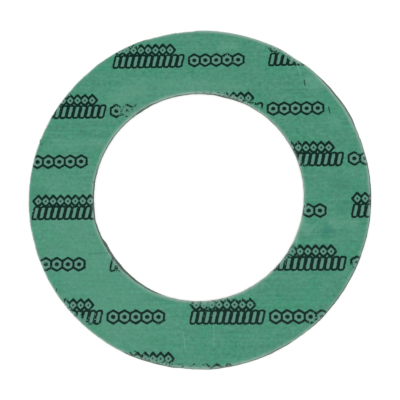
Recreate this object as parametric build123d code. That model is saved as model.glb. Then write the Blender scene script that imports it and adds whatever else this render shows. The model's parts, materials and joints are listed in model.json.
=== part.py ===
from build123d import *

import os

# A flat ring gasket for a 65 mm pipe flange, cut by hand from one sheet of rubber-bonded fibre.
# It lies on its lower face: the origin is the middle of the bore in the plane of that face, +Z is up.
outer_diameter = 127.0
bore_diameter = 78.1
thickness = 1.5

# The blade comes from above: it rolls the upper edges over and leaves a slight break below.
upper_edge_roll = 0.30
lower_edge_break = 0.10

# Where the blade strayed. Each station is an angle in degrees, anticlockwise from +X, and how far
# the edge lies outside its true circle there. Between two stations the blade swept a single arc.
outer_stations = [
    (21, 0),  # slow swell
    (30, 0.20),
    (50, 0.10),
    (55, -0.18),  # the blade was set down again
    (60, 0.18),
    (67, 0),
    (90.5, 0),
    (92, -0.28),  # flat left by a second, straighter pass
    (107, -0.24),
    (109, 0.10),
    (127, 0.12),
    (131, 0),
    (159.2, 0),
    (160, 0.30),  # burr that was never trimmed off
    (160.9, 0),
    (262, 0),
    (264, -0.16),
    (266, 0),
    (271, 0),
    (274, 0.20),  # start and end of the cut
    (279, 0.04),
    (292, 0.06),
    (296, 0),
]
bore_stations = [
    (62, 0),
    (75, -0.20),  # the bore runs a little small here
    (100, -0.06),
    (128, 0),
    (140, 0.12),  # and a little large from here
    (189, 0.12),
    (193.5, 0.45),  # nick where the cut was closed
    (200, 0.08),
    (250, 0),
]
turn_radius = 1.0  # the tightest turn of the blade, which eases every change of sweep


def at(radius, angle):
    """The point at this distance and angle from the middle of the bore."""
    return Vector(radius, 0).rotate(Axis.Z, angle)


def cut_out(diameter, stations):
    """The face inside the closed line that the blade followed."""
    radius = diameter / 2
    first_angle, first_stray = stations[0]
    ends = stations[1:] + [(first_angle + 360, first_stray)]
    sweeps = []
    for (angle, stray), (next_angle, next_stray) in zip(stations, ends):
        start = at(radius + stray, angle)
        middle = at(radius + (stray + next_stray) / 2, (angle + next_angle) / 2)
        end = at(radius + next_stray, next_angle)
        sweeps.append(ThreePointArc(start, middle, end))
    disc = make_face(sweeps)
    return fillet(disc.vertices(), turn_radius)


def gasket_ring():
    """The ring between the two cuts, with its upper edges rolled over and its lower ones broken."""
    blank = cut_out(outer_diameter, outer_stations) - cut_out(bore_diameter, bore_stations)
    ring = extrude(blank, thickness)
    ring = fillet(ring.edges().group_by(Axis.Z)[-1], upper_edge_roll)
    return chamfer(ring.edges().group_by(Axis.Z)[0], lower_edge_break)


ring = gasket_ring()
os.makedirs("parts", exist_ok=True)
export_step(ring, "parts/gasket_ring.step")
print(f"gasket_ring: {ring.volume / 1000:.2f} cm3, {ring.bounding_box().size}")
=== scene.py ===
import json
import math

import bpy
from mathutils import Matrix, Vector


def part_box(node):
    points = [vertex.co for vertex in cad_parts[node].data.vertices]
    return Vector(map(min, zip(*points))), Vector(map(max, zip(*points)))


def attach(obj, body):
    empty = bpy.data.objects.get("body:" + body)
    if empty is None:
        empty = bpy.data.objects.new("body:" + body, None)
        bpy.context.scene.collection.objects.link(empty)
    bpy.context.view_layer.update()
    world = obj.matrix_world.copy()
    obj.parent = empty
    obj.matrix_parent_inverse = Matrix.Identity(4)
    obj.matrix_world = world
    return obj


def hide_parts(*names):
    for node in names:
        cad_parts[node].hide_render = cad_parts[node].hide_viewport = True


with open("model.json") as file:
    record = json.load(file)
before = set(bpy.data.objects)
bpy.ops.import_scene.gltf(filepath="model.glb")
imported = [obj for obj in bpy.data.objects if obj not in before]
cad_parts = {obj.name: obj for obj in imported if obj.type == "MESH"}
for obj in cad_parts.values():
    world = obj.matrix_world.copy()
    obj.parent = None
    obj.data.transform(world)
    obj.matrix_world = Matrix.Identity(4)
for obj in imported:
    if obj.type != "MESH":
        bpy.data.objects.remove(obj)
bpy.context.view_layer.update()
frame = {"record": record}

mm = 0.001
ringNode = "gasket_ring"
ringLow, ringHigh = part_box(ringNode)
mountSizes = {mount["name"]: mount["dims"] for mount in frame["record"]["mounts"] if mount.get("dims")}
boreRadius = mountSizes["bore"]["r_mm"] * mm
rimRadius = mountSizes["outer_rim"]["r_mm"] * mm
sheetThickness = ringHigh.z - ringLow.z
print(f"frame: bore {2 * boreRadius / mm:.1f} mm, rim {2 * rimRadius / mm:.1f} mm, "
      f"sheet {sheetThickness / mm:.2f} mm thick")


class Wire:  # the output of a node, which can stand in a Python sum
    def __init__(self, plan, socket):
        self.plan = plan
        self.socket = socket

    def math(self, operation, *terms):
        return self.plan.node("ShaderNodeMath", {"operation": operation}, dict(enumerate(terms)))

    def __add__(self, other):
        return self.math("ADD", self, other)

    def __radd__(self, other):
        return self.math("ADD", other, self)

    def __sub__(self, other):
        return self.math("SUBTRACT", self, other)

    def __rsub__(self, other):
        return self.math("SUBTRACT", other, self)

    def __mul__(self, other):
        return self.math("MULTIPLY", self, other)

    def __truediv__(self, other):
        return self.math("DIVIDE", self, other)

    def __mod__(self, other):
        return self.math("FLOORED_MODULO", self, other)

    def __gt__(self, other):
        return self.math("GREATER_THAN", self, other)

    def __abs__(self):
        return self.math("ABSOLUTE", self)

    def floor(self):
        return self.math("FLOOR", self)

    def root(self):
        return self.math("SQRT", self)

    def sine(self):
        return self.math("SINE", self)

    def cosine(self):
        return self.math("COSINE", self)

    def least(self, other):
        return self.math("MINIMUM", self, other)

    def most(self, other):
        return self.math("MAXIMUM", self, other)

    def spread(self, start, end, low=0.0, high=1.0, how="SMOOTHSTEP"):
        # low up to start, high from end, and an eased or straight run between them
        return self.plan.node("ShaderNodeMapRange", {"interpolation_type": how},
                              {0: self, 1: start, 2: end, 3: low, 4: high})

    def output(self, name):  # another output of the same node
        return Wire(self.plan, self.socket.node.outputs[name])


class Plan:  # a node tree, and the one way that nodes get into it
    def __init__(self, tree):
        self.tree = tree

    def node(self, kind, settings=None, sockets=None):
        made = self.tree.nodes.new(kind)
        for name, value in (settings or {}).items():
            setattr(made, name, value)
        for key, value in (sockets or {}).items():
            if isinstance(value, Wire):
                self.tree.links.new(value.socket, made.inputs[key])
            else:
                made.inputs[key].default_value = value
        return Wire(self, made.outputs[0]) if made.outputs else made

    def vector(self, operation, *terms):
        return self.node("ShaderNodeVectorMath", {"operation": operation}, dict(enumerate(terms)))

    def scaled(self, vector, factor):
        return self.node("ShaderNodeVectorMath", {"operation": "SCALE"},
                         {"Vector": vector, "Scale": factor})

    def split(self, vector):
        made = self.node("ShaderNodeSeparateXYZ", None, {"Vector": vector})
        return made, made.output("Y"), made.output("Z")

    def join(self, x=0.0, y=0.0, z=0.0):
        return self.node("ShaderNodeCombineXYZ", None, {"X": x, "Y": y, "Z": z})

    def noise(self, place, scale, detail=2.0, roughness=0.5):
        return self.node("ShaderNodeTexNoise", None,
                         {"Vector": place, "Scale": scale, "Detail": detail, "Roughness": roughness})

    def blend(self, share, first, second, how="MIX"):
        made = self.node("ShaderNodeMix", {"data_type": "RGBA", "blend_type": how},
                         {0: share, 6: first, 7: second})
        return Wire(self, made.socket.node.outputs[2])

    def store(self, geometry, label, value):
        return self.node("GeometryNodeStoreNamedAttribute", {"data_type": "FLOAT", "domain": "POINT"},
                         {"Geometry": geometry, "Name": label, "Value": value})

    def feed(self, shader, values):
        for label, value in values.items():
            self.tree.links.new(value.socket, shader.inputs[label])


def screenColour(red, green, blue):  # 0 to 255 as seen on a screen, to a linear colour
    def linear(value):
        share = value / 255
        return share / 12.92 if share <= 0.04045 else ((share + 0.055) / 1.055) ** 2.4
    return (linear(red), linear(green), linear(blue), 1.0)


def startTree(name, sizes):
    # a Geometry Nodes tree with a named input for each size; gives its plan and those inputs
    tree = bpy.data.node_groups.new(name, "GeometryNodeTree")
    tree.interface.new_socket("Geometry", in_out="OUTPUT", socket_type="NodeSocketGeometry")
    for label, value in sizes.items():
        kind = {float: "NodeSocketFloat", int: "NodeSocketInt"}.get(type(value), "NodeSocketMaterial")
        tree.interface.new_socket(label, in_out="INPUT", socket_type=kind)
    plan = Plan(tree)
    entry = tree.nodes.new("NodeGroupInput")
    return plan, {label: Wire(plan, entry.outputs[label]) for label in sizes}


def closeTree(plan, geometry, material):
    real = plan.node("GeometryNodeRealizeInstances", None, {"Geometry": geometry})
    dressed = plan.node("GeometryNodeSetMaterial", None, {"Geometry": real, "Material": material})
    plan.node("NodeGroupOutput", None, {"Geometry": dressed})


def bakePiece(name, plan, sizes):
    # runs the tree on a worker object and keeps the plain mesh that comes out
    worker = bpy.data.objects.new(name + "Worker", bpy.data.meshes.new(name + "Worker"))
    bpy.context.scene.collection.objects.link(worker)
    modifier = worker.modifiers.new(name, "NODES")
    modifier.node_group = plan.tree
    for item in plan.tree.interface.items_tree:
        if item.in_out == "INPUT":
            modifier[item.identifier] = sizes[item.name]
    graph = bpy.context.evaluated_depsgraph_get()
    mesh = bpy.data.meshes.new_from_object(worker.evaluated_get(graph), preserve_all_data_layers=True,
                                           depsgraph=graph)
    worker.modifiers.remove(modifier)
    bpy.data.objects.remove(worker)
    mesh.name = name
    piece = bpy.data.objects.new(name, mesh)
    bpy.context.scene.collection.objects.link(piece)
    triangles = sum(len(face.vertices) - 2 for face in mesh.polygons)
    print(f"{name}: {len(mesh.vertices)} points, {triangles} triangles")
    return piece


cameraPlace = {
    "azimuth": 290.67,  # degrees anticlockwise from +X, the side that the camera leans to
    "tilt": 9.295,  # degrees off straight down
    "distance": 323.8 * mm,
    "lookAt": (0.717 * mm, -1.817 * mm),  # on the upper face
    "lens": 78.69,
    "sensorWidth": 36.0,
    "sees": (0.01, 20.0),  # from and to, in metres
}


def addCamera(place):
    azimuth = math.radians(place["azimuth"])
    tilt = math.radians(place["tilt"])
    back = Vector((math.sin(tilt) * math.cos(azimuth), math.sin(tilt) * math.sin(azimuth), math.cos(tilt)))
    right = Vector((0, 1, 0)).cross(back).normalized()
    up = back.cross(right)
    data = bpy.data.cameras.new("camera")
    data.lens = place["lens"]
    data.sensor_width = place["sensorWidth"]
    data.clip_start, data.clip_end = place["sees"]
    camera = bpy.data.objects.new("camera", data)
    bpy.context.scene.collection.objects.link(camera)
    turn = Matrix((right, up, back)).transposed().to_4x4()
    target = Vector((*place["lookAt"], ringHigh.z))
    camera.matrix_world = Matrix.Translation(target + back * place["distance"]) @ turn
    bpy.context.scene.camera = camera


addCamera(cameraPlace)
print("camera set")


studio = {
    "floorHalf": 8.0,
    "floorDrop": 0.01 * mm,  # under the ring, so that the two don't share a plane
    "floorColour": (0.98, 0.98, 0.975, 1.0),
    "floorShade": (0.96, 0.96, 0.955, 1.0),
    "floorCloud": 5.0,  # faint clouds to the metre
    "floorRoughness": 0.85,
    "floorShine": 0.15,
    "skyColour": (1.0, 1.0, 1.0, 1.0),
    "skyStrength": 0.72,
    "keyAzimuth": 262.0,  # the main light stands on the near side
    "keyHeight": 77.0,  # degrees above the floor
    "keyDistance": 3.0,
    "keySize": 1.0,
    "keyPower": 42.0,
}


def addFloor(values):
    material = bpy.data.materials.new("paleFloor")
    material.use_nodes = True
    plan = Plan(material.node_tree)
    shader = material.node_tree.nodes["Principled BSDF"]
    place = plan.node("ShaderNodeTexCoord").output("Object")
    cloud = plan.noise(place, values["floorCloud"], 3.0)
    plan.feed(shader, {"Base Color": plan.blend(cloud, values["floorColour"], values["floorShade"])})
    shader.inputs["Roughness"].default_value = values["floorRoughness"]
    shader.inputs["Specular IOR Level"].default_value = values["floorShine"]
    half = values["floorHalf"]
    level = ringLow.z - values["floorDrop"]
    mesh = bpy.data.meshes.new("floor")
    corners = [(-half, -half, level), (half, -half, level), (half, half, level), (-half, half, level)]
    mesh.from_pydata(corners, [], [(0, 1, 2, 3)])
    mesh.materials.append(material)
    floor = bpy.data.objects.new("floor", mesh)
    bpy.context.scene.collection.objects.link(floor)


def addLight(values):
    world = bpy.data.worlds.new("softStudio")
    world.use_nodes = True
    bpy.context.scene.world = world
    sky = world.node_tree.nodes["Background"]
    sky.inputs["Color"].default_value = values["skyColour"]
    sky.inputs["Strength"].default_value = values["skyStrength"]
    azimuth = math.radians(values["keyAzimuth"])
    height = math.radians(values["keyHeight"])
    level = math.cos(height)
    toKey = Vector((level * math.cos(azimuth), level * math.sin(azimuth), math.sin(height)))
    data = bpy.data.lights.new("keyLight", "AREA")
    data.shape = "DISK"
    data.size = values["keySize"]
    data.energy = values["keyPower"]
    key = bpy.data.objects.new("keyLight", data)
    key.location = toKey * values["keyDistance"]
    key.rotation_mode = "QUATERNION"
    key.rotation_quaternion = toKey.to_track_quat("Z", "Y")
    bpy.context.scene.collection.objects.link(key)
    bpy.context.scene.view_settings.view_transform = "Standard"


addFloor(studio)
addLight(studio)
print("floor and light set")


# The finish of the sheet. Lengths are in millimetres, as is every place on it below.
sheetFinish = {
    "green": screenColour(64, 133, 107),
    "greyGreen": screenColour(75, 134, 112),
    "patchSize": 9.0,
    "patchSpread": (0.38, 0.62),
    "mottleLength": 5.0,
    "mottleWidth": 2.0,
    "fleckApart": 7.0,
    "fleckReach": 0.4,
    "fleckShare": 0.7,
    "fleck": screenColour(38, 92, 72),
    "streakLength": 24.0,  # the rollers drew these across the sheet
    "streakWidth": 0.8,
    "streakRise": 0.1,  # how fast they change with height
    "streakDepth": 0.24,
    "grainLength": 1.4,
    "grainWidth": 1.3,
    "grainRise": 1.4,
    "grainDepth": 0.64,
    "grainRough": 0.85,
    "pressed": screenColour(146, 169, 160),  # the band where the blade pressed the edge over: rubbed paler, and partly a painted highlight
    "pressedWidth": 1.5,
    "pressedShare": 0.8,
    "rolled": screenColour(178, 196, 188),  # the rolled corner itself: rubbed paler, and partly a painted highlight
    "rolledWidth": 0.55,
    "inkHides": 0.6,  # how much of the pale edge the ink covers
    "cutLight": screenColour(134, 156, 142),
    "cutDark": screenColour(84, 104, 94),
    "cutPatch": 6.0,
    "cutSpread": (0.40, 0.60),
    "strokeLength": 3.2,  # the blade went round in short strokes, some harder than others; these vary the pale rolled corner, partly a painted highlight, and the painted shade on the cut
    "strokeSpread": (0.42, 0.58, 0.55, 1.40),
    "strokeSwing": 0.5,  # how much a stroke changes the painted shade on the cut
    "cutShade": screenColour(74, 88, 82),  # painted shade on the cut, set angle by angle
    "layerLength": 0.8,  # how fast the layers change along the cut
    "layerHeight": 0.16,
    "roughness": 0.60,
    "roughGrain": 0.18,
    "roughCut": 0.25,
    "smoothInk": 0.12,
    "shine": 0.06,
    "reliefHeight": 0.012,
    "reliefStrength": 0.8,
    "reliefGrain": 0.6,
    "reliefStreaks": 0.5,
    "reliefLayers": 2.0,
    "reliefInk": 0.15,
}

# The generic stamp: rows of plain outlined shapes, each row half a repeat on from the last.
stampPrint = {
    "ink": screenColour(2, 33, 27),
    "pale": screenColour(90, 133, 119),  # the ground inside a shape
    "paleShare": 0.8,
    "rowPitch": 19.31,
    "repeat": 59.2,
    "baseLine": 11.16,
    "below": 1.0,  # how far a row's shapes may reach under its base line
    "start": -32.7,
    "corner": 0.3,
    "paleEdge": (-0.12, 0.08),  # inside and outside a shape's outline
    "inkEdge": (0.08, 0.10),  # inside and outside the side of a line
    "waver": 0.45,
    "waverScale": 0.9,
    "wearBroad": (0.12, 0.45),  # scale and share of each noise that wears the ink
    "wearFine": (1.5, 0.55),
    "worn": 0.33,
    "wornSoft": 0.05,
    "wornEdge": 4.0,  # how far in from a cut the ink has flaked
    "wornEdgeShare": 0.15,
    "wornEdgeSides": (8.0, 34.0, 0.2, 1.0),  # less so where the rollers ran along the cut
    "wornPlaces": [((-27.5, 32.2), (-19.5, 34.0), 6.0, 0.13)],  # from, to, reach, how much more
}
stampRuns = [
    # shape, from, foot, how many, pitch, width, height, slant, its own stroke, ink line round it
    ("bar", 0.0, 0.0, 11, 2.42, 1.15, 3.9, 0.22, 4.0, 0.80),
    ("lozenge", 1.0, 4.65, 8, 2.8, 3.0, 3.4, 0.0, 0.58, 0.82),
    ("hexagon", 29.2, 0.05, 5, 4.15, 3.3, 4.0, 0.0, 0.85, 0.82),
]

# Patches in the ground under the stamp, and the marks over it: from, to, reach, colour, strength.
palePatch = screenColour(110, 158, 138)
darkPatch = screenColour(50, 114, 90)
groundTints = [
    ((-52.0, -4.0), (-26.0, -46.0), 26.0, screenColour(94, 148, 126), 0.30),  # painted light: the left and lower left of the sheet made lighter
    ((-14.0, 41.5), (14.0, 41.5), 6.0, palePatch, 0.20),
    ((-31.0, 37.5), (-22.0, 41.0), 6.5, palePatch, 0.28),
    ((-53.0, 20.0), (-36.0, 20.0), 3.2, palePatch, 0.22),
    ((42.0, 43.0), (44.5, 41.5), 4.5, palePatch, 0.36),
    ((50.0, 28.0), (51.5, 26.5), 4.0, palePatch, 0.24),
    ((10.0, 57.5), (13.0, 57.5), 4.0, palePatch, 0.32),
    ((38.5, -11.5), (40.0, -13.5), 3.5, palePatch, 0.34),
    ((50.0, -10.5), (57.0, -11.0), 3.5, palePatch, 0.26),
    ((50.3, 3.4), (53.5, 3.4), 3.6, darkPatch, 0.36),
    ((53.0, -4.5), (56.0, -4.8), 3.6, darkPatch, 0.40),
    ((50.0, -36.0), (51.0, -34.5), 5.0, darkPatch, 0.28),
    ((31.0, -36.5), (34.0, -35.5), 5.0, darkPatch, 0.26),
    ((-61.5, 1.6), (-58.0, 1.5), 3.0, darkPatch, 0.42),
]
scratch = screenColour(124, 180, 154)
freshInk = screenColour(8, 44, 36)
greyInk = screenColour(30, 50, 44)
speck = screenColour(40, 58, 50)
surfaceMarks = [
    ((46.6, -13.9), (47.8, -13.4), 2.8, screenColour(48, 112, 100), 0.60),  # smudge
    ((-40.4, -21.6), (-33.3, -21.2), 0.5, screenColour(48, 112, 88), 0.60),  # fine crease
    ((5.6, -47.3), (5.9, -55.1), 0.35, scratch, 0.22),
    ((-5.4, -50.2), (-4.6, -56.3), 0.35, scratch, 0.28),
    ((37.2, 49.6), (38.7, 45.8), 0.40, scratch, 0.34),
    ((36.3, -16.2), (35.9, -19.0), 0.35, scratch, 0.45),
    ((39.9, 43.4), (40.2, 41.4), 0.42, freshInk, 0.95),  # stray ticks of ink
    ((26.0, 34.0), (26.0, 31.6), 0.42, freshInk, 0.90),
    ((48.8, 32.9), (49.2, 30.5), 0.42, freshInk, 0.90),
    ((51.0, 32.1), (51.0, 32.0), 0.40, screenColour(30, 84, 68), 0.70),
    ((-52.2, -34.3), (-52.3, -35.3), 0.42, freshInk, 0.80),
    ((-26.7, -57.6), (-25.8, -58.0), 0.52, greyInk, 0.85),
    ((-24.2, -58.6), (-23.6, -58.9), 0.52, screenColour(20, 44, 38), 0.90),
    ((-18.5, -60.2), (-17.7, -60.5), 0.50, screenColour(30, 56, 48), 0.80),
    ((-16.8, -60.8), (-16.2, -61.0), 0.45, screenColour(40, 62, 56), 0.75),
    ((-15.0, -61.3), (-14.3, -61.5), 0.50, screenColour(12, 44, 36), 0.90),
    ((-23.1, -57.0), (-22.5, -57.2), 0.42, freshInk, 0.85),
    ((-37.9, 9.9), (-37.8, 9.8), 0.60, speck, 0.85),  # specks
    ((-39.0, 5.3), (-38.9, 5.0), 0.60, speck, 0.85),
    ((17.7, 58.1), (17.8, 58.1), 0.40, sheetFinish["fleck"], 0.60),
    ((17.2, 41.7), (17.3, 41.7), 0.40, sheetFinish["fleck"], 0.60),
    ((25.1, -54.9), (25.2, -54.9), 0.40, sheetFinish["fleck"], 0.50),
    ((-60.0, 21.3), (-59.9, 21.2), 0.60, screenColour(50, 62, 56), 0.85),  # torn skin at the burr
    ((-59.5, 20.3), (-59.3, 19.7), 0.50, screenColour(30, 62, 50), 0.80),
]


def markShare(plan, place, start, end, reach):
    # 1 on the line from start to end, easing to 0 at this reach from it
    run = Vector((end[0] - start[0], end[1] - start[1], 0.0))
    fromStart = plan.vector("SUBTRACT", place, (start[0], start[1], 0.0))
    share = plan.vector("DOT_PRODUCT", fromStart, tuple(run)).output("Value") / run.length_squared
    gap = plan.vector("SUBTRACT", fromStart, plan.scaled(tuple(run), share.most(0.0).least(1.0)))
    return plan.vector("LENGTH", gap).output("Value").spread(0.0, reach, 1.0, 0.0)


def addMarks(plan, colour, flat, upperFace, marks):
    for start, end, reach, tint, strength in marks:
        share = markShare(plan, flat, start, end, reach) * upperFace * strength
        colour = plan.blend(share, colour, tint)
    return colour


def rolledFace(plan, place, flat, finish):
    # broad patches, long streaks across the sheet, a fine grain and dark flecks
    x, y, z = plan.split(place)
    patches = plan.noise(flat, 1 / finish["patchSize"], 3.0, 0.55)
    stretched = plan.join(x / finish["mottleLength"], y / finish["mottleWidth"], 0.0)
    mottle = plan.noise(stretched, 1.0, 3.0, 0.6)
    patches = (patches * 0.5 + mottle * 0.5).spread(*finish["patchSpread"])
    colour = plan.blend(patches, finish["green"], finish["greyGreen"])
    drawn = plan.join(x / finish["streakLength"], y / finish["streakWidth"], z * finish["streakRise"])
    streaks = plan.noise(drawn, 1.0, 4.0, 0.6)
    grained = plan.join(x / finish["grainLength"], y / finish["grainWidth"], z * finish["grainRise"])
    grain = plan.noise(grained, 1.0, 4.0, finish["grainRough"])
    shade = 1.0 + (streaks - 0.5) * (2 * finish["streakDepth"]) + (grain - 0.5) * (2 * finish["grainDepth"])
    colour = plan.blend(1.0, colour, plan.join(shade, shade, shade), "MULTIPLY")
    flecks = plan.node("ShaderNodeTexVoronoi", None, {"Vector": flat, "Scale": 1 / finish["fleckApart"]})
    fleckSize = flecks.output("Color") * (finish["fleckReach"] / finish["fleckApart"])
    fleckShare = (flecks / fleckSize).spread(0.5, 1.0, finish["fleckShare"], 0.0)
    return plan.blend(fleckShare, colour, finish["fleck"]), streaks, grain


def stampShares(plan, x, y, stamp, runs):
    # how far a place is inside a shape of the stamp, and how far on the ink line round one
    raised = y - (stamp["baseLine"] - stamp["below"])
    row = (raised / stamp["rowPitch"]).floor()
    above = raised - row * stamp["rowPitch"] - stamp["below"]
    along = (x - stamp["start"] + row % 2.0 * (stamp["repeat"] / 2)) % stamp["repeat"]
    pale, ink = 0.0, 0.0
    for shape, first, foot, count, pitch, width, height, slant, stroke, line in runs:
        rise = above - foot
        run = along - first - rise * slant
        cell = (run / pitch).floor().most(0.0).least(count - 1.0)
        side, level = run - (cell + 0.5) * pitch, rise - height / 2
        if shape == "bar":
            across = (abs(side) - (width / 2 - stamp["corner"])).most(0.0)
            over = (abs(level) - (height / 2 - stamp["corner"])).most(0.0)
            gap = (across * across + over * over).root() - stamp["corner"]
        else:
            wide = width if shape == "lozenge" else width * 2
            toEdge = wide * height / 2 / math.hypot(wide, height)
            blunt = stamp["corner"] ** 2
            aside, aloft = (side * side + blunt).root(), (level * level + blunt).root()
            gap = (aside * (2 / wide) + aloft * (2 / height) - 1.0) * toEdge
            if shape == "hexagon":
                gap = gap.most(abs(side) - width / 2)
        gap = abs(gap + stroke / 2) - stroke / 2
        pale = gap.spread(*stamp["paleEdge"], 1.0, 0.0).most(pale)
        inkStart, inkEnd = line / 2 - stamp["inkEdge"][0], line / 2 + stamp["inkEdge"][1]
        ink = abs(gap - line / 2).spread(inkStart, inkEnd, 1.0, 0.0).most(ink)
    return pale, ink


def inkWear(plan, y, flat, edgeDistance, stamp):
    # low where the ink has worn or flaked away
    (broad, broadShare), (fine, fineShare) = stamp["wearBroad"], stamp["wearFine"]
    wear = plan.noise(flat, broad, 2.0) * broadShare + plan.noise(flat, fine, 2.0) * fineShare
    flaked = edgeDistance.spread(0.0, stamp["wornEdge"], stamp["wornEdgeShare"], 0.0)
    wear = wear - flaked * abs(y).spread(*stamp["wornEdgeSides"])
    for start, end, reach, amount in stamp["wornPlaces"]:
        wear = wear - markShare(plan, flat, start, end, reach) * amount
    return wear.spread(stamp["worn"], stamp["worn"] + stamp["wornSoft"])


def addStamp(plan, colour, flat, known, stamp, runs):
    x, y, _ = plan.split(flat)
    waver = (plan.noise(flat, stamp["waverScale"], 2.0) - 0.5) * stamp["waver"]
    pale, ink = stampShares(plan, x + waver, y - waver, stamp, runs)
    ink = ink * inkWear(plan, y, flat, known["edgeDistance"], stamp) * known["upperFace"]
    colour = plan.blend(pale * known["upperFace"] * stamp["paleShare"], colour, stamp["pale"])
    return plan.blend(ink, colour, stamp["ink"]), ink


def addPaleEdge(plan, colour, ink, strokes, known, finish):
    # the band that the blade pressed over, and the rolled corner outside it: both rubbed paler, and partly
    # a painted highlight
    bare = 1.0 - ink * finish["inkHides"]
    pressed = known["edgeDistance"].spread(0.0, finish["pressedWidth"], finish["pressedShare"], 0.0)
    rolled = known["edgeDistance"].spread(0.0, finish["rolledWidth"], 1.0, 0.0)
    colour = plan.blend(pressed * known["paleBandAndHighlight"] * bare, colour, finish["pressed"])
    return plan.blend(rolled * known["paleCornerAndHighlight"] * strokes * bare, colour, finish["rolled"])


def cutFace(plan, place, flat, strokes, paintedCutShade, finish):
    # layers of fibre, lighter and darker by turns, with painted shade laid over them angle by angle
    x, y, z = plan.split(place)
    layered = plan.join(x * finish["layerLength"], y * finish["layerLength"], z / finish["layerHeight"])
    layers = plan.noise(layered, 1.0, 4.0, 0.65)
    patches = plan.noise(flat, 1 / finish["cutPatch"], 3.0, 0.6)
    light = (layers * 0.5 + patches * 0.5).spread(*finish["cutSpread"])
    colour = plan.blend(light, finish["cutDark"], finish["cutLight"])
    swing = finish["strokeSwing"]
    return plan.blend(paintedCutShade * ((1.0 + swing) - strokes * swing), colour, finish["cutShade"]), layers


def makeSheetMaterial(finish, stamp, runs, tints, marks):
    material = bpy.data.materials.new("fibreSheet")
    material.use_nodes = True
    plan = Plan(material.node_tree)
    shader = material.node_tree.nodes["Principled BSDF"]
    place = plan.scaled(plan.node("ShaderNodeTexCoord").output("Object"), 1 / mm)
    x, y, _ = plan.split(place)
    flat = plan.join(x, y, 0.0)
    # what the ring's own tree stores on it
    known = {}
    for label in ("edgeDistance", "cutWall", "upperFace", "paleBandAndHighlight", "paleCornerAndHighlight", "paintedCutShade"):
        known[label] = plan.node("ShaderNodeAttribute", {"attribute_name": label}).output("Fac")

    strokes = plan.noise(flat, 1 / finish["strokeLength"], 2.0).spread(*finish["strokeSpread"])
    colour, streaks, grain = rolledFace(plan, place, flat, finish)
    colour = addMarks(plan, colour, flat, known["upperFace"], tints)
    colour, ink = addStamp(plan, colour, flat, known, stamp, runs)
    colour = addPaleEdge(plan, colour, ink, strokes, known, finish)
    colour = addMarks(plan, colour, flat, known["upperFace"], marks)
    cut, layers = cutFace(plan, place, flat, strokes, known["paintedCutShade"], finish)
    colour = plan.blend(known["cutWall"], colour, cut)

    rough = (finish["roughness"] + (grain - 0.5) * finish["roughGrain"] - ink * finish["smoothInk"]
             + known["cutWall"] * finish["roughCut"])
    relief = (grain * finish["reliefGrain"] + streaks * finish["reliefStreaks"]
              + known["cutWall"] * layers * finish["reliefLayers"] + ink * finish["reliefInk"])
    bump = plan.node("ShaderNodeBump", None, {
        "Strength": finish["reliefStrength"], "Distance": finish["reliefHeight"] * mm, "Height": relief})
    plan.feed(shader, {"Base Color": colour, "Roughness": rough, "Normal": bump})
    shader.inputs["Specular IOR Level"].default_value = finish["shine"]
    return material


sheetMaterial = makeSheetMaterial(sheetFinish, stampPrint, stampRuns, groundTints, surfaceMarks)
print("sheet finish made")


# The ring itself: one section carried round a circle, then drawn in and out to the two cuts.
nearSide = math.radians(300)  # where the rim leans most
ringSizes = {
    "Bore Radius": boreRadius,
    "Rim Radius": rimRadius,
    "Thickness": sheetThickness,
    "Edge Roll": 0.30 * mm,
    "Lower Break": 0.10 * mm,
    "Corner Sides": 4,
    "Around": 1080,  # sides of the ring
    "Face Pitch": 1.6 * mm,
    "Wall Pitch": 0.24 * mm,
    "Wall Start": 0.16 * mm,  # how far in from a cut its own finish starts
    "Wall Full": 0.01 * mm,
    "Ragged": 0.07 * mm,  # how far a cut wall strays within one stroke of the blade
    "Slow Wander": 0.16,  # waves to the millimetre
    "Slow Share": 1.3,
    "Quick Wander": 0.9,
    "Quick Rise": 1.2,  # how much the quick one changes from foot to top
    "Rim Shift": 7.3,  # keeps the wander of the rim unlike that of the bore
    "Stroke Turn": 5.0,  # degrees that a stroke covers
    "Stroke Waver": 12.0,  # degrees that the slow wander moves its ends
    "Stroke Step": 0.15 * mm,  # how far apart two strokes may end and start
    "Lean": 0.28 * mm,  # how far the rim leans out towards its foot there
    "Lift": 0.12 * mm,  # how far the limp sheet rises off what it lies on
    "Lift Waves": 22.0,  # to the metre
    "Lift Level": 0.35,  # the part of a wave that stays down
    "Seed": 4.0,
    "Material": sheetMaterial,
}
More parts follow.
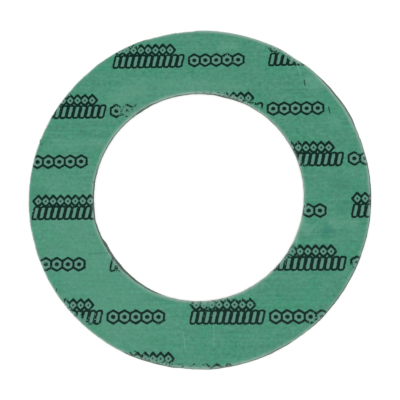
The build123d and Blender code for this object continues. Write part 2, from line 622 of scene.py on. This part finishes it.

# The two cuts, by degrees anticlockwise from +X. How many millimetres the upper edge strays out from
# the true circle, how many the foot stands proud of it, away from the sheet, how strong the pale pressed
# band is, how strong the pale rolled corner is (both rubbed paler and partly painted highlight), and how
# much painted shade the cut gets.
rimCut = {
    "stray": [
        (0, -0.06), (21, -0.04), (24, -0.03), (33, -0.07), (36, -0.15), (42, -0.09), (47, 0.27),
        (50, 0.26), (55, -0.05), (60, 0.34), (67, 0.19), (75, 0.12), (84, 0.18), (90.5, 0.16),
        (92, -0.15), (107, -0.04), (109, 0.27), (120, 0.24), (127, 0.25), (131, 0.11), (145, 0.11),
        (153, 0.15), (159.6, 0.11), (160.3, 0.40), (161.0, 0.14), (186, 0.11), (192, 0.05),
        (202, 0.03), (208, 0.08), (226, 0.09), (232, 0.13), (242, 0.17), (246, 0.0), (250, -0.12),
        (258, -0.22), (262, -0.14), (264, -0.26), (266, -0.12), (271, -0.02), (274, 0.20),
        (279, 0.04), (286, 0.06), (294, 0.06), (296, -0.04), (301, -0.02), (303, 0.07), (308, 0.06),
        (312, 0.12), (318, 0.02), (330, -0.02), (334, 0.04), (350, 0.04), (360, -0.06),
    ],
    "lean": [
        (0, 0.34), (6, 0.42), (12, 0.38), (21, 0.40), (24, 0.63), (27, 0.95), (33, 1.00), (36, 0.94),
        (42, 0.86), (47, 0.42), (53, 0.24), (60, 0.12), (66, 0.12), (107, 0.10), (110, 0.24),
        (127, 0.22), (132, 0.15), (190, 0.12), (196, 0.0), (243, 0.0), (246, 0.26), (262, 0.26),
        (266, 0.08), (301, 0.10), (303, -0.04), (310, -0.04), (312, 0.10), (340, 0.10), (350, 0.20),
        (360, 0.34),
    ],
    "paleBandAndHighlight": [
        (0, 0.50), (24, 0.68), (50, 0.68), (56, 0.92), (88, 0.92), (92, 0.42), (106, 0.42),
        (110, 0.20), (127, 0.20), (132, 0.18), (158, 0.18), (164, 0.08), (190, 0.08), (196, 0.20),
        (240, 0.26), (248, 0.46), (262, 0.46), (270, 0.56), (300, 0.44), (306, 0.34), (345, 0.34),
        (360, 0.50),
    ],
    "paleCornerAndHighlight": [
        (0, 0.28), (20, 0.28), (26, 0.24), (48, 0.26), (52, 0.42), (60, 0.44), (88, 0.44),
        (92, 0.78), (107, 0.78), (110, 0.48), (127, 0.50), (131, 1.15), (160, 1.10), (190, 0.92),
        (240, 0.70), (246, 0.22), (262, 0.22), (266, 0.36), (292, 0.34), (294, 0.22), (301, 0.22),
        (303, 0.46), (310, 0.44), (312, 0.26), (318, 0.26), (320, 0.18), (346, 0.24), (360, 0.28),
    ],
    "paintedCutShade": [
        (0, 0.8), (20, 0.7), (26, 0.55), (48, 0.55), (52, 0.1), (60, 0), (240, 0), (246, 0.5),
        (262, 0.5), (266, 0.3), (292, 0.3), (294, 0.7), (301, 0.7), (303, 0.4), (310, 0.4),
        (312, 0.9), (346, 0.9), (360, 0.8),
    ],
}
boreCut = {
    "stray": [
        (50, 0), (56, -0.09), (62, -0.04), (70, -0.06), (82, -0.06), (88, -0.11), (100, -0.06),
        (114, -0.03), (118, 0.22), (126, 0.20), (130, 0.04), (140, 0.13), (152, 0.09), (162, 0.16),
        (168, 0.30), (186, 0.30), (193.5, 0.63), (200, 0.33), (204, 0.30), (207, 0.18), (220, 0.20),
        (232, 0.22), (244, 0.26), (250, 0.10), (258, 0.12), (282, 0.13), (292, 0.06), (300, 0),
    ],
    "lean": [
        (0, 0), (64, 0), (68, 0.26), (76, 0.28), (80, 0.14), (84, 0.08), (108, 0.02), (114, 0.04),
        (119, 0.32), (125, 0.38), (130, 0.04), (162, 0.02), (168, 0.22), (186, 0.22), (193, 0.26),
        (204, 0.36), (206.5, 0.82), (208, 0.94), (212, 0.88), (216, 0.82), (222, 0.88), (224, 0.76),
        (230, 0.70), (236, 0.60), (242, 0.50), (247, 0.32), (252, 0.03), (256, 0),
    ],
    "paleBandAndHighlight": [
        (0, 0.32), (60, 0.32), (66, 0.50), (84, 0.55), (90, 0.68), (114, 0.68), (118, 0.45),
        (126, 0.45), (130, 0.65), (158, 0.65), (164, 0.42), (190, 0.42), (200, 0.55), (206, 0.30),
        (220, 0.30), (226, 0.50), (246, 0.60), (252, 0.60), (300, 0.55), (304, 0.42), (352, 0.42),
        (360, 0.32),
    ],
    "paleCornerAndHighlight": [
        (0, 0.48), (60, 0.48), (66, 0.34), (84, 0.34), (88, 0.28), (114, 0.28), (118, 0.26),
        (126, 0.26), (130, 0.34), (160, 0.34), (166, 0.30), (190, 0.30), (204, 0.30), (222, 0.26),
        (226, 0.20), (246, 0.18), (252, 0.38), (300, 0.38), (306, 0.48), (360, 0.48),
    ],
    "paintedCutShade": [
        (60, 0), (65, 0.5), (82, 0.5), (86, 0.1), (114, 0.1), (118, 0.5), (126, 0.5), (129, 0.1),
        (162, 0.1), (166, 0.5), (190, 0.5), (192, 0.45), (204, 0.55), (207, 0.80), (221, 0.80),
        (223, 0.62), (246, 0.62), (252, 0),
    ],
}


def atAngle(angle, stations):
    # the value at an angle in degrees, running straight from each station to the next
    value = stations[0][1]
    for (start, before), (end, after) in zip(stations, stations[1:]):
        if after != before:
            value = angle.spread(start, end, 0.0, after - before, "LINEAR") + value
    return value


def sheetSection(plan, size, width):
    # a rectangle with its upper corners rolled over and its lower ones just broken, whose points
    # remember where in it they are
    position = plan.node("GeometryNodeInputPosition")
    index = plan.node("GeometryNodeInputIndex")
    section = plan.node("GeometryNodeCurvePrimitiveQuadrilateral", None,
                        {"Width": width, "Height": size["Thickness"]})
    across, up, _ = plan.split(position)
    corner = size["Lower Break"] + (up > 0.0) * (size["Edge Roll"] - size["Lower Break"])
    section = plan.node("GeometryNodeFilletCurve", {"mode": "POLY"}, {
        "Curve": section, "Count": size["Corner Sides"], "Radius": corner, "Limit Radius": True})
    points = plan.node("GeometryNodeAttributeDomainSize", {"component": "CURVE"}, {"Geometry": section})
    following = plan.node("GeometryNodeFieldAtIndex", {"data_type": "FLOAT_VECTOR"},
                          {"Index": (index + 1.0) % points, "Value": position})
    stepAcross, stepUp, _ = plan.split(plan.vector("SUBTRACT", following, position))
    cuts = abs(stepAcross) / size["Face Pitch"] + abs(stepUp) / size["Wall Pitch"]
    section = plan.node("GeometryNodeSubdivideCurve", None, {"Curve": section, "Cuts": cuts.floor()})
    flatHalf = width * 0.5 - size["Edge Roll"]
    inFlat = across.most(0.0 - flatHalf).least(flatHalf)
    # the rows of the flat stand closer together by the edges
    closer = (inFlat / flatHalf * (math.pi / 2)).sine() * flatHalf + across - inFlat
    return plan.store(plan.store(section, "across", closer), "up", up)


def bladeRadius(plan, size, circle, stray, turn, heading, level, shift):
    # the true circle with the strays of the blade, its short strokes and the finer wander within one
    onCircle = plan.scaled(heading, circle / mm)
    slowPlace = plan.vector("ADD", onCircle, plan.join(shift, 0.0, size["Seed"]))
    slow = plan.noise(slowPlace, size["Slow Wander"], 2.0) - 0.5
    rising = size["Seed"] + level * size["Quick Rise"]
    quickPlace = plan.vector("ADD", onCircle, plan.join(0.0, shift, rising))
    quick = plan.noise(quickPlace, size["Quick Wander"], 2.0) - 0.5
    stroke = (turn + slow * size["Stroke Waver"]) / size["Stroke Turn"]
    number = stroke.floor()
    skew = plan.node("ShaderNodeTexWhiteNoise", {"noise_dimensions": "1D"},
                     {"W": number + shift + size["Seed"]}) - 0.5
    slope = (stroke - number - 0.5) * skew * 2.0
    strayed = circle + atAngle(turn, stray) * mm
    return strayed + (slow * size["Slow Share"] + quick) * size["Ragged"] + slope * size["Stroke Step"]


def ringTree(sizes, rim, bore):
    plan, size = startTree("ringTree", sizes)
    width = size["Rim Radius"] - size["Bore Radius"]
    middle = (size["Rim Radius"] + size["Bore Radius"]) * 0.5
    rail = plan.node("GeometryNodeCurvePrimitiveCircle", None,
                     {"Resolution": size["Around"], "Radius": middle})
    rail = plan.store(rail, "turn", plan.node("GeometryNodeInputIndex") * 360.0 / size["Around"])
    ring = plan.node("GeometryNodeCurveToMesh", None,
                     {"Curve": rail, "Profile Curve": sheetSection(plan, size, width)})
    ring = plan.node("GeometryNodeFlipFaces", None, {"Mesh": ring})  # so that they all face out

    def stored(label):
        return plan.node("GeometryNodeInputNamedAttribute", {"data_type": "FLOAT"}, {"Name": label})

    # the two cuts
    turn, across, up = stored("turn"), stored("across"), stored("up")
    radians = turn * (math.pi / 180)
    heading = plan.join(radians.cosine(), radians.sine(), 0.0)
    level = up / size["Thickness"] + 0.5  # 0 on the lower face, 1 on the upper
    share = across / width + 0.5  # 0 at the bore, 1 at the rim
    near = (radians - nearSide).cosine().most(0.0)
    inner = bladeRadius(plan, size, size["Bore Radius"], bore["stray"], turn, heading, level, 0.0)
    outer = bladeRadius(plan, size, size["Rim Radius"], rim["stray"], turn, heading, level,
                        size["Rim Shift"])
    inner = inner - (1.0 - level) * atAngle(turn, bore["lean"]) * mm
    outer = outer + (1.0 - level) * atAngle(turn, rim["lean"]) * mm - level * near * size["Lean"]
    outline = plan.scaled(heading, inner + share * (outer - inner))

    # the limp sheet lies on its lower face and rises off it here and there
    seeded = plan.vector("ADD", outline, plan.join(size["Seed"], 0.0, 0.0))
    lift = plan.noise(seeded, size["Lift Waves"], 1.0)
    raised = (lift - size["Lift Level"]).most(0.0) * size["Lift"] * 2.0
    height = up + size["Thickness"] * 0.5 + raised
    place = plan.vector("ADD", outline, plan.join(0.0, 0.0, height))
    ring = plan.node("GeometryNodeSetPosition", None, {"Geometry": ring, "Position": place})

    # what the finish has to know
    onRim = share > 0.5
    known = {
        "edgeDistance": share.least(1.0 - share) * width / mm,
        "cutWall": abs(across).spread(width * 0.5 - size["Wall Start"], width * 0.5 - size["Wall Full"]),
        "upperFace": up > 0.0,
    }
    # the pale edges, partly painted highlight, and the painted shade on the cuts, angle by angle
    for label in ("paleBandAndHighlight", "paleCornerAndHighlight", "paintedCutShade"):
        known[label] = atAngle(turn, bore[label]) * (1.0 - onRim) + atAngle(turn, rim[label]) * onRim
    for label, value in known.items():
        ring = plan.store(ring, label, value)
    for label in ("turn", "across", "up"):
        ring = plan.node("GeometryNodeRemoveAttribute", None, {"Geometry": ring, "Name": label})
    ring = plan.node("GeometryNodeSetShadeSmooth", None, {"Geometry": ring, "Shade Smooth": True})
    closeTree(plan, ring, size["Material"])
    return plan


gasketSheet = bakePiece("gasketSheet", ringTree(ringSizes, rimCut, boreCut), ringSizes)
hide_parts(ringNode)
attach(gasketSheet, "root")
